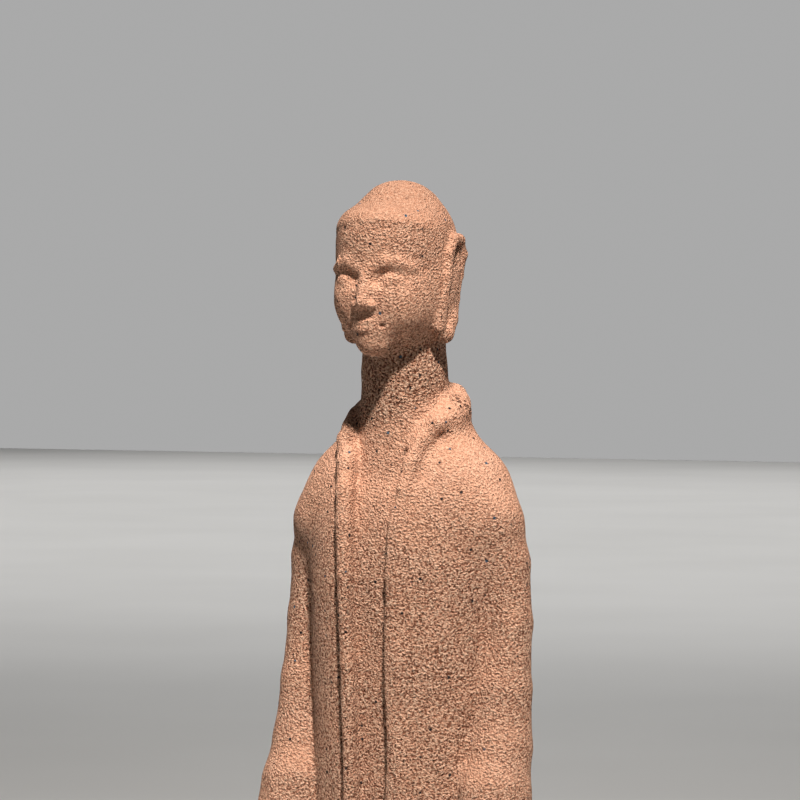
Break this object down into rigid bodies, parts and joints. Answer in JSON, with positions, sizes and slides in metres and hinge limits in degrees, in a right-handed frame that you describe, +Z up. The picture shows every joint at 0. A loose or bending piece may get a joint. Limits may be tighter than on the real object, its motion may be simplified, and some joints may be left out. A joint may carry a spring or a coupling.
{
  "type": "standing figurine",
  "caption": "Slender standing figure in a long open robe with rolled edges and bell sleeves, hands lowered, on a low oval plinth; coarse unglazed stoneware.",
  "frame": {"origin": "middle of the plinth's underside", "axes": "+Z up, the figure faces -Y, its left hand is towards +X"},
  "size_m": [0.074, 0.06, 0.2398],
  "materials": {
    "stoneware": "unglazed, matt, coarse sandy clay"
  },
  "bodies": {
    "root": {"figurine": "stoneware"}
  },
  "joints": []
}
